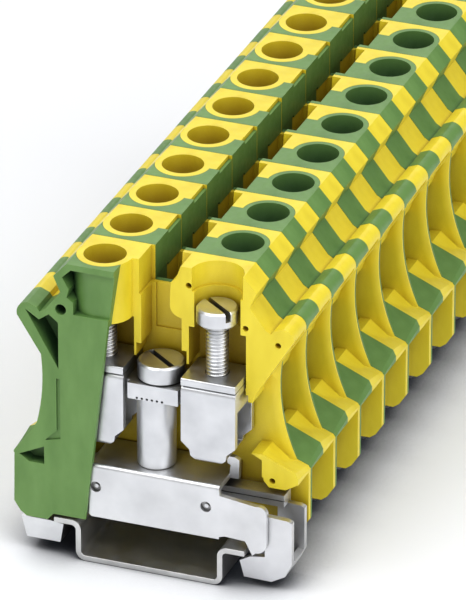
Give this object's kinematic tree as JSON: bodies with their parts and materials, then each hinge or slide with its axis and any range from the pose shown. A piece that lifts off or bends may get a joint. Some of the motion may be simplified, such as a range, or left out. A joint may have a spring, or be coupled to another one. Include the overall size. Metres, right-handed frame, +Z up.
{
  "type": "din rail terminal block",
  "caption": "Row of green and yellow screw-clamp earth terminal blocks on a top-hat rail, the first block cut open to show its clamps, busbar and rail foot",
  "frame": {"origin": "centre of the flat bottom face of the rail, half way along the strip", "axes": "+X across the rail, from the left clamps to the right clamps seen from the cut-open end; +Y along the rail, away from the cut-open end; +Z up, away from the surface that the rail is fixed to"},
  "size_m": [0.0503, 0.147, 0.0566],
  "materials": {
    "green_polyamide": "satin",
    "yellow_polyamide": "satin",
    "plated_steel": "satin",
    "foot_steel": "satin",
    "plated_brass": "satin",
    "screw_steel": "polished"
  },
  "bodies": {
    "housing": {"din_rail": "plated_steel", "green_shell_01": "green_polyamide", "yellow_shell_01": "yellow_polyamide", "green_shell_02": "green_polyamide", "yellow_shell_02": "yellow_polyamide", "green_shell_03": "green_polyamide", "yellow_shell_03": "yellow_polyamide", "green_shell_04": "green_polyamide", "yellow_shell_04": "yellow_polyamide", "green_shell_05": "green_polyamide", "yellow_shell_05": "yellow_polyamide", "green_shell_06": "green_polyamide", "yellow_shell_06": "yellow_polyamide", "green_shell_07": "green_polyamide", "yellow_shell_07": "yellow_polyamide", "green_shell_08": "green_polyamide", "yellow_shell_08": "yellow_polyamide", "green_shell_09": "green_polyamide", "yellow_shell_09": "yellow_polyamide", "green_shell_10": "green_polyamide", "yellow_shell_10": "yellow_polyamide", "green_shell_11": "green_polyamide", "yellow_shell_11": "yellow_polyamide", "green_shell_12": "green_polyamide", "yellow_shell_12": "yellow_polyamide", "busbar": "plated_brass", "earth_post": "plated_brass", "foot_bracket": "foot_steel", "rear_clamp_screws": "screw_steel", "rear_mounting_screws": "screw_steel", "rear_clamp_sleeves": "plated_brass", "rear_busbars": "plated_brass", "rear_earth_posts": "plated_brass", "rear_foot_brackets": "foot_steel", "rear_clamp_yokes": "foot_steel"},
    "clamp_screw_left_body": {"clamp_screw_left": "screw_steel"},
    "clamp_screw_right_body": {"clamp_screw_right": "screw_steel"},
    "clamp_sleeve_left_body": {"clamp_sleeve_left": "plated_brass"},
    "clamp_sleeve_right_body": {"clamp_sleeve_right": "plated_brass"},
    "mounting_screw_body": {"mounting_screw": "screw_steel"},
    "clamp_yoke_body": {"clamp_yoke": "foot_steel"}
  },
  "joints": [
    {"name": "clamp_screw_left_turn", "type": "hinge", "parent": "housing", "child": "clamp_screw_left_body", "pos_m": [-0.0102, -0.0671, 0.049], "axis": [0, 0, 1], "range_deg": [-3781, 0]},
    {"name": "clamp_sleeve_left_lift", "type": "slide", "parent": "housing", "child": "clamp_sleeve_left_body", "axis": [0, 0, 1], "range_m": [0, 0.00735]},
    {"name": "clamp_screw_right_turn", "type": "hinge", "parent": "housing", "child": "clamp_screw_right_body", "pos_m": [0.0102, -0.0671, 0.049], "axis": [0, 0, 1], "range_deg": [-3781, 0]},
    {"name": "clamp_sleeve_right_lift", "type": "slide", "parent": "housing", "child": "clamp_sleeve_right_body", "axis": [0, 0, 1], "range_m": [0, 0.00735]},
    {"name": "mounting_screw_turn", "type": "hinge", "parent": "housing", "child": "mounting_screw_body", "pos_m": [0, -0.0671, 0.036], "axis": [0, 0, 1], "range_deg": [0, 541]},
    {"name": "clamp_yoke_drop", "type": "slide", "parent": "housing", "child": "clamp_yoke_body", "axis": [0, 0, 1], "range_m": [-0.0012, 0]}
  ],
  "couplings": [
    {"joint": "clamp_screw_left_turn", "follows": "clamp_sleeve_left_lift", "rad_per_m": -8976},
    {"joint": "clamp_screw_right_turn", "follows": "clamp_sleeve_right_lift", "rad_per_m": -8976},
    {"joint": "mounting_screw_turn", "follows": "clamp_yoke_drop", "rad_per_m": -7854}
  ]
}
